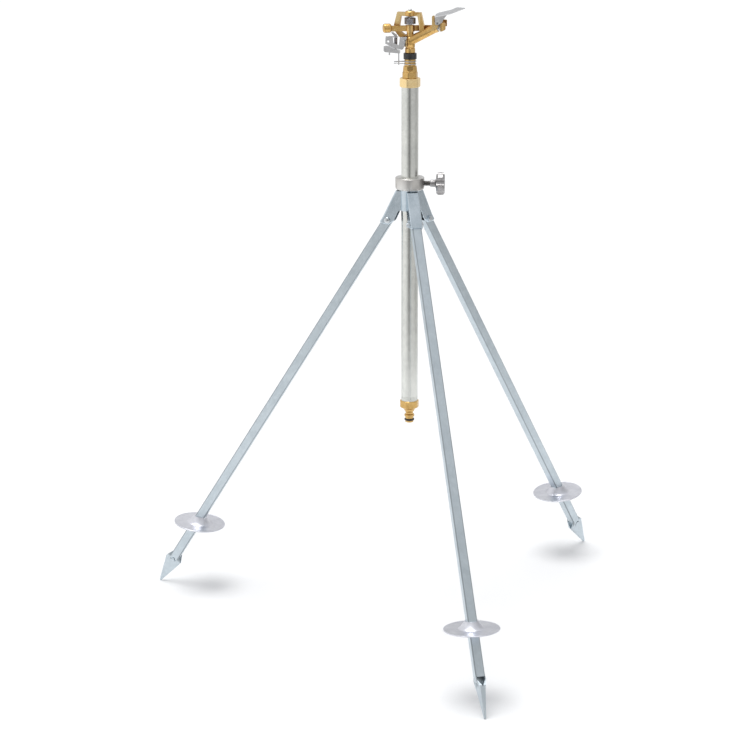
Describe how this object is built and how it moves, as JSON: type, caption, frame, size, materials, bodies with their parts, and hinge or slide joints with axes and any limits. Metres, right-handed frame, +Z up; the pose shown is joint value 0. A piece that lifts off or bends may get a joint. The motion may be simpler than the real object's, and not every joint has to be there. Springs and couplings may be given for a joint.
{
  "type": "impact sprinkler on tripod",
  "caption": "Impact sprinkler: swinging-arm head with part-circle trip on a height-adjustable riser held in a folding tripod with spiked square legs and foot discs.",
  "frame": {"origin": "on the ground plane that the three leg tips stand on, under the riser's axis", "axes": "+Z up along the riser; -Y towards the front leg; legs at -90, 30 and 150 degrees about +Z"},
  "size_m": [0.7738, 0.6737, 0.9969],
  "materials": {
    "galvanised_leg": "galvanised, satin",
    "galvanised_disc": "galvanised, bright",
    "galvanised_sheet": "galvanised, bright",
    "galvanised_pipe": "galvanised pipe, satin",
    "bolt_steel": "zinc plated",
    "cast_zinc": "die cast, matt",
    "dark_steel": "oiled thread",
    "brass_turned": "turned",
    "brass_cast": "cast, lightly brushed",
    "black_rubber": "matt",
    "nozzle_steel": "satin",
    "stainless_sheet": "pressed, satin",
    "stainless_wire": "drawn wire"
  },
  "bodies": {
    "tripod": {"collar": "cast_zinc", "hub_sleeve": "galvanised_sheet", "leg_bracket_front": "galvanised_sheet", "leg_bracket_right": "galvanised_sheet", "leg_bracket_left": "galvanised_sheet", "pivot_bolts": "bolt_steel", "pivot_nuts": "bolt_steel"},
    "leg_front": {"leg_front": "galvanised_leg", "foot_disc_front": "galvanised_disc"},
    "leg_right": {"leg_right": "galvanised_leg", "foot_disc_right": "galvanised_disc"},
    "leg_left": {"leg_left": "galvanised_leg", "foot_disc_left": "galvanised_disc"},
    "clamp_stud": {"clamp_stud": "dark_steel"},
    "clamp_knob": {"clamp_knob": "cast_zinc"},
    "riser": {"riser_tube": "galvanised_pipe", "hose_adapter": "brass_turned", "adapter_washer": "black_rubber", "nipple_oring": "black_rubber", "reducer_hex": "brass_turned", "bearing_nipple": "brass_turned", "bearing_sleeve": "brass_turned", "seal_ring": "black_rubber"},
    "collar_clip_upper": {"friction_collar_upper": "stainless_wire"},
    "collar_clip_lower": {"friction_collar_lower": "stainless_wire"},
    "head": {"sprinkler_body": "brass_cast", "bearing_stem": "brass_turned", "thrust_washer": "black_rubber", "nozzle": "nozzle_steel", "fulcrum_pin": "stainless_wire", "arm_spring": "stainless_wire", "deflector_rivet": "stainless_wire", "trip_bracket": "stainless_sheet", "bracket_screws": "stainless_wire", "trip_spring": "stainless_wire"},
    "arm": {"arm": "brass_cast", "arm_bush": "brass_turned"},
    "deflector": {"deflector": "stainless_sheet"},
    "trip": {"trip_lever": "stainless_sheet", "trip_pin": "stainless_wire", "trip_wire": "stainless_wire"}
  },
  "joints": [
    {"name": "leg_front_fold", "type": "hinge", "parent": "tripod", "child": "leg_front", "pos_m": [0, -0.0348, 0.6592], "axis": [1, 0, 0], "range_deg": [0, 28]},
    {"name": "leg_right_fold", "type": "hinge", "parent": "tripod", "child": "leg_right", "pos_m": [0.03014, 0.0174, 0.6592], "axis": [-0.5, 0.866, 0], "range_deg": [0, 28]},
    {"name": "leg_left_fold", "type": "hinge", "parent": "tripod", "child": "leg_left", "pos_m": [-0.03014, 0.0174, 0.6592], "axis": [-0.5, -0.866, 0], "range_deg": [0, 28]},
    {"name": "riser_height", "type": "slide", "parent": "tripod", "child": "riser", "axis": [0, 0, 1], "range_m": [-0.138, 0.312]},
    {"name": "clamp_stud_slide", "type": "slide", "parent": "tripod", "child": "clamp_stud", "axis": [0.9511, -0.309, 0], "range_m": [0, 0.005]},
    {"name": "clamp_knob_turn", "type": "hinge", "parent": "clamp_stud", "child": "clamp_knob", "pos_m": [0, 0, 0.7192], "axis": [0.9511, -0.309, 0], "range_deg": [0, 1440]},
    {"name": "head_spin", "type": "hinge", "parent": "riser", "child": "head", "pos_m": [0, 0, 0.92], "axis": [0, 0, 1], "continuous": true},
    {"name": "arm_swing", "type": "hinge", "parent": "head", "child": "arm", "pos_m": [0, 0, 0.962], "axis": [0, 0, 1], "range_deg": [0, 90], "stiffness_Nm_per_rad": 0.03, "springref_deg": -22.92, "deforming": ["arm_spring"]},
    {"name": "deflector_tilt", "type": "hinge", "parent": "head", "child": "deflector", "pos_m": [0.03866, -0.02143, 0.9718], "axis": [0.4848, 0.8746, 0], "range_deg": [-4, 15]},
    {"name": "trip_toggle", "type": "hinge", "parent": "head", "child": "trip", "pos_m": [-0.02163, 0.00513, 0.94], "axis": [0, 0, 1], "range_deg": [-9, 9], "deforming": ["trip_spring"]},
    {"name": "upper_collar_turn", "type": "hinge", "parent": "riser", "child": "collar_clip_upper", "pos_m": [0, 0, 0.9114], "axis": [0, 0, 1], "range_deg": [0, 150]},
    {"name": "lower_collar_turn", "type": "hinge", "parent": "riser", "child": "collar_clip_lower", "pos_m": [0, 0, 0.9071], "axis": [0, 0, 1], "range_deg": [-150, 0]}
  ],
  "couplings": [
    {"joint": "clamp_stud_slide", "follows": "clamp_knob_turn", "m_per_rad": 0.00019894}
  ]
}
